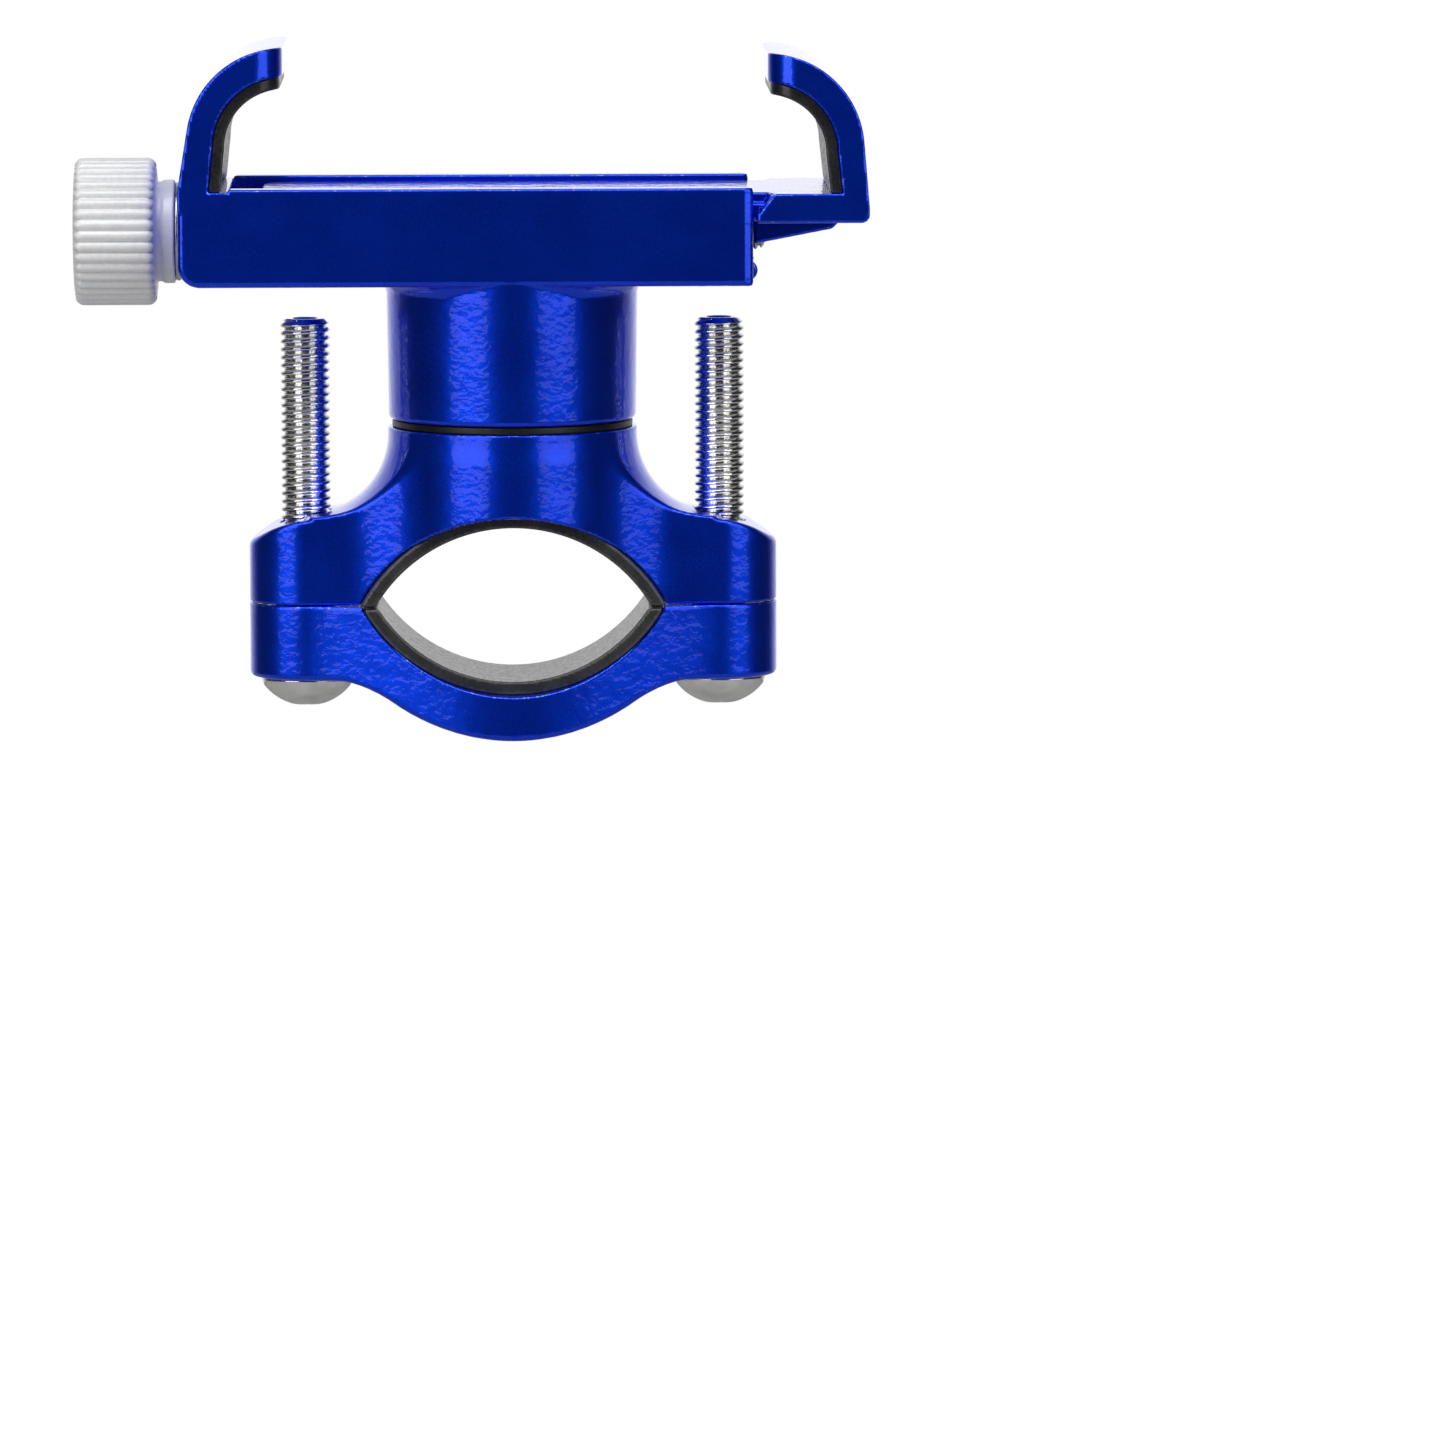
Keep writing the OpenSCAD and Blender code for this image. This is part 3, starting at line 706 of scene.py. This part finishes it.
def blue_lacquer():
    """Clear-coated metallic blue over a rippled casting."""
    look = Look(
        "blue_lacquer", (0.0, 0.05, 0.9), 0.88, 0.28,
        Coat_Weight=1.0, Coat_Roughness=0.04, Coat_IOR=1.3,
    )
    cloud = look.scale(look.noise(5.0, 4), 0.35, 0.65, 0, 1)
    base = look.mix(cloud, (0.0, 0.045, 0.82), (0.0, 0.058, 0.95))
    # Paler blue-grey specks on sharp convex edges: partly rubbed paint, partly a painted edge
    # highlight.
    bare_and_glint_specks = look.scale(look.noise(0.45, 4), 0.58, 0.66, 0, 1)
    rub_and_edge_highlight = look.math("MULTIPLY", look.scale(look.edges(), 0.55, 0.95, 0, 1), bare_and_glint_specks)
    look.put("Base Color", look.mix(look.math("MULTIPLY", rub_and_edge_highlight, 0.5), base, (0.4, 0.5, 0.75)))
    look.put("Roughness", look.scale(look.noise(0.12, 1), 0.3, 0.7, 0.27, 0.34))
    swell = look.bump(look.noise(2.6, 2), 0.05)
    ripple = look.noise(0.8, 1.5, stretch=(1, 1, 1.35), distortion=0.35)
    look.put("Normal", look.bump(ripple, 0.007, swell))
    look.put("Coat Normal", look.bump(ripple, 0.03, swell))
    return look.material


def rubber(name, shade):
    """Dark rubber with a faint sheen, a fine grain, dusty patches and lighter edges that are
    partly wear and partly a painted highlight.
    """
    look = Look(name, (shade,) * 3, 0.0, 0.3)
    dust = look.scale(look.noise(2.5, 5), 0.4, 0.7, 0, 1)
    # Lighter grey specks on sharp edges: partly wear, partly a painted edge highlight.
    worn_and_edge_highlight = look.math("MULTIPLY", look.scale(look.edges(), 0.2, 0.8, 0, 1), look.noise(0.5, 3))
    tone = look.mix(dust, (shade * 0.8,) * 3, (shade * 1.25,) * 3)
    look.put("Base Color", look.mix(worn_and_edge_highlight, tone, (shade * 3,) * 3))
    look.put("Roughness", look.scale(look.noise(0.4, 2), 0.3, 0.7, 0.22, 0.36))
    look.put("Normal", look.bump(look.noise(0.16, 3), 0.006, look.bump(look.noise(0.9, 2), 0.01)))
    return look.material


def turned_aluminium():
    """Bright satin aluminium with fine turning lines round its axis."""
    look = Look("turned_aluminium", (0.95, 0.95, 0.95), 0.1, 0.4)
    lines = look.noise(0.07, 2, stretch=(1, 0.02, 0.02))
    grain = look.noise(0.5, 4)
    shine = look.scale(grain, 0.35, 0.65, 0, 1)
    look.put("Base Color", look.mix(shine, (0.9, 0.9, 0.9), (0.98, 0.98, 0.97)))
    look.put("Roughness", look.scale(grain, 0.3, 0.7, 0.34, 0.46))
    look.put("Normal", look.bump(lines, 0.004))
    return look.material


def polished_steel(name, color, roughness, grain_size=0.3, grain_depth=0.004):
    """Bright plated steel with faint grain and darker smudges."""
    look = Look(name, color, 1.0, roughness)
    smudge = look.scale(look.noise(1.6, 4), 0.4, 0.7, 0, 1)
    dark = tuple(0.8 * c for c in color)
    look.put("Base Color", look.mix(smudge, color, dark))
    blur = look.scale(look.noise(0.5, 3), 0.3, 0.7, roughness * 0.7, roughness * 1.5)
    look.put("Roughness", blur)
    look.put("Normal", look.bump(look.noise(grain_size, 2), grain_depth))
    return look.material


def disc_plastic():
    """Black plastic with a fine mould texture."""
    look = Look("disc_plastic", (0.005, 0.005, 0.006), 0.0, 0.4)
    look.put("Roughness", look.scale(look.noise(0.3, 2), 0.3, 0.7, 0.3, 0.5))
    look.put("Normal", look.bump(look.noise(0.1, 2), 0.01))
    return look.material


def nut_brass():
    """Turned brass with slight tarnish."""
    look = Look("nut_brass", (0.78, 0.57, 0.22), 1.0, 0.28)
    stain = look.scale(look.noise(1.4, 5), 0.4, 0.7, 0, 1)
    look.put("Base Color", look.mix(stain, (0.8, 0.6, 0.24), (0.5, 0.33, 0.12)))
    look.put("Roughness", look.scale(look.noise(0.5, 3), 0.3, 0.7, 0.2, 0.4))
    look.put("Normal", look.bump(look.noise(0.08, 2, stretch=(1, 0.03, 0.03)), 0.006))
    return look.material


# ------------------------------------------------------------------------------------ pieces
looks = {
    "blue_lacquer": blue_lacquer(),
    "pad_rubber": rubber("pad_rubber", 0.022),
    "liner_rubber": rubber("liner_rubber", 0.04),
    "turned_aluminium": turned_aluminium(),
    "bolt_steel": polished_steel("bolt_steel", (0.94, 0.93, 0.91), 0.12),
    "screw_steel": polished_steel("screw_steel", (0.62, 0.62, 0.63), 0.26, 0.15, 0.006),
    "spring_steel": polished_steel("spring_steel", (0.6, 0.6, 0.62), 0.3, 0.2, 0.006),
    "nut_brass": nut_brass(),
    "disc_plastic": disc_plastic(),
}
# Piece, the CAD node that it stands for, its field and the step of its grid in millimetres
PIECES = (
    ("cradle_casting", "cradle_body", cradle_body, 0.28),
    ("jaw_casting", "sliding_jaw", sliding_jaw, 0.25),
    ("upper_clamp_casting", "clamp_upper", clamp_upper, 0.25),
    ("lower_clamp_casting", "clamp_lower", clamp_lower, 0.25),
    ("fixed_pad_rubber", "fixed_jaw_pad", fixed_jaw_pad, 0.2),
    ("sliding_pad_rubber", "sliding_jaw_pad", sliding_jaw_pad, 0.2),
    ("upper_liner_rubber", "clamp_liner_upper", clamp_liner_upper, 0.25),
    ("lower_liner_rubber", "clamp_liner_lower", clamp_liner_lower, 0.25),
    ("fluted_knob", "knob", knob, 0.11),
    ("spindle_thread", "lead_screw", lead_screw, 0.12),
    ("drive_bush", "drive_nut", drive_nut, 0.2),
    ("knob_ring", "knob_washer", knob_washer, 0.12),
    ("clip_ring", "clip_washer", clip_washer, 0.12),
    ("retaining_clip", "screw_clip", screw_clip, 0.1),
    ("pivot_disc", "friction_disc", friction_disc, 0.2),
    ("pivot_screw", "swivel_screw", swivel_screw, 0.14),
    ("pivot_flat_washer", "swivel_flat_washer", swivel_flat_washer, 0.2),
    ("pivot_cone_washer", "swivel_spring_washer", swivel_spring_washer, 0.15),
    ("pivot_nut", "swivel_nut", swivel_nut, 0.18),
    ("right_bolt", "clamp_bolt_right", clamp_bolt, 0.11),
)
record = frame["record"]
body_of = {node: body for body, nodes in record["behaviour"]["bodies"].items() for node in nodes}
slot_of = {part["node"]: part["material_slot"] for part in record["subparts"]}


def add_piece(name, node, mesh):
    """Puts a mesh in the scene in place of a CAD node."""
    piece = bpy.data.objects.new(name, mesh)
    bpy.context.scene.collection.objects.link(piece)
    mesh.materials.append(looks[slot_of[node]])
    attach(piece, body_of[node])
    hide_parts(node)


def build_pieces():
    """Every piece from the table, and the left bolt as a copy of the right one."""
    for name, node, field, step in PIECES:
        add_piece(name, node, mesh_of(name, *surface(field, node, step)))
    left = bpy.data.objects["right_bolt"].data.copy()
    left.name = "left_bolt"
    left.transform(Matrix.Translation((-2 * bolt_x * MM, 0, 0)))
    add_piece("left_bolt", "clamp_bolt_left", left)


# ----------------------------------------------------------------------------- studio and camera
def studio_floor():
    """Round pale floor, well below the mount. The camera sees it as white as what is behind it."""
    drop, radius, sides = 0.12, 0.42, 96
    angles = [2 * math.pi * i / sides for i in range(sides)]
    rim = [(radius * math.cos(a), radius * math.sin(a), -drop) for a in angles]
    mesh = bpy.data.meshes.new("floor")
    mesh.from_pydata(rim, [], [tuple(range(sides))])
    floor = bpy.data.objects.new("floor", mesh)
    bpy.context.scene.collection.objects.link(floor)
    look = Look("studio_floor", (0.5, 0.5, 0.5), 0.0, 0.9)
    look.shader.inputs["Emission Color"].default_value = (1, 1, 1, 1)
    look.put("Emission Strength", look.nodes.new("ShaderNodeLightPath").outputs["Is Camera Ray"])
    mesh.materials.append(look.material)


def softbox(name, place, aim, size, radiance):
    """Rectangular light at a place, turned to face a point."""
    light = bpy.data.lights.new(name, "AREA")
    light.shape = "RECTANGLE"
    light.size, light.size_y = size
    light.energy = radiance * math.pi * size[0] * size[1]
    lamp = bpy.data.objects.new(name, light)
    lamp.visible_camera = False
    lamp.location = place
    lamp.rotation_euler = (Vector(aim) - Vector(place)).to_track_quat("-Z", "Y").to_euler()
    bpy.context.scene.collection.objects.link(lamp)


def front_softbox(name, azimuth, radiance):
    """Tall softbox in front of the mount, to one side of the camera."""
    distance, half_angle, low, high = 1.1, 17.5, -0.1, 1.1
    side, ahead = math.sin(math.radians(azimuth)), -math.cos(math.radians(azimuth))
    width = 2 * distance * math.tan(math.radians(half_angle))
    middle = (low + high) / 2
    place = (distance * side, distance * ahead, middle)
    softbox(name, place, (0, 0, middle), (width, high - low), radiance)


def backdrop():
    """Light from all round: bright behind the mount, dark at its sides and in front."""
    world = bpy.data.worlds.new("studio")
    bpy.context.scene.world = world
    world.use_nodes = True
    nodes, links = world.node_tree.nodes, world.node_tree.links
    background = nodes["Background"]
    direction = nodes.new("ShaderNodeTexCoord").outputs["Generated"]
    split = nodes.new("ShaderNodeSeparateXYZ")
    links.new(direction, split.inputs[0])
    depth = nodes.new("ShaderNodeMapRange")
    depth.inputs["From Min"].default_value = -1
    links.new(split.outputs["Y"], depth.inputs["Value"])
    fade = nodes.new("ShaderNodeValToRGB")
    stops = ((0.0, 0.01), (0.74, 0.03), (0.82, 0.25), (0.92, 0.75), (1.0, 1.1))
    for position, level in stops[1:-1]:
        fade.color_ramp.elements.new(position)
    for element, (position, level) in zip(fade.color_ramp.elements, stops):
        element.position = position
        element.color = (level, level, level, 1)
    links.new(depth.outputs["Result"], fade.inputs["Fac"])
    seen = nodes.new("ShaderNodeLightPath").outputs["Is Camera Ray"]
    mix = nodes.new("ShaderNodeMix")
    mix.data_type = "RGBA"
    mix.inputs[7].default_value = (1, 1, 1, 1)
    links.new(seen, mix.inputs["Factor"])
    links.new(fade.outputs["Color"], mix.inputs[6])
    links.new(mix.outputs[2], background.inputs["Color"])


def camera():
    """Long lens in front of the mount and slightly above it."""
    data = bpy.data.cameras.new("camera")
    data.sensor_width = 36.0
    data.lens = 246.4
    data.clip_start = 0.05
    view = bpy.data.objects.new("camera", data)
    view.location = (-0.00006, -0.9849, 0.1046)
    yaw, pitch, roll = (math.radians(angle) for angle in (1.236, 6.781, 0.137))
    view.rotation_euler = (math.pi / 2 - pitch, roll, -yaw)
    bpy.context.scene.collection.objects.link(view)
    bpy.context.scene.camera = view


build_pieces()
studio_floor()
backdrop()
front_softbox("softbox_left", -40, 2.1)
front_softbox("softbox_right", 42, 1.55)
softbox("softbox_top", (0, -0.5, 1.1), (0, 0, 0.02), (1.2, 0.7), 3.2)
camera()
bpy.context.scene.view_settings.view_transform = "Standard"
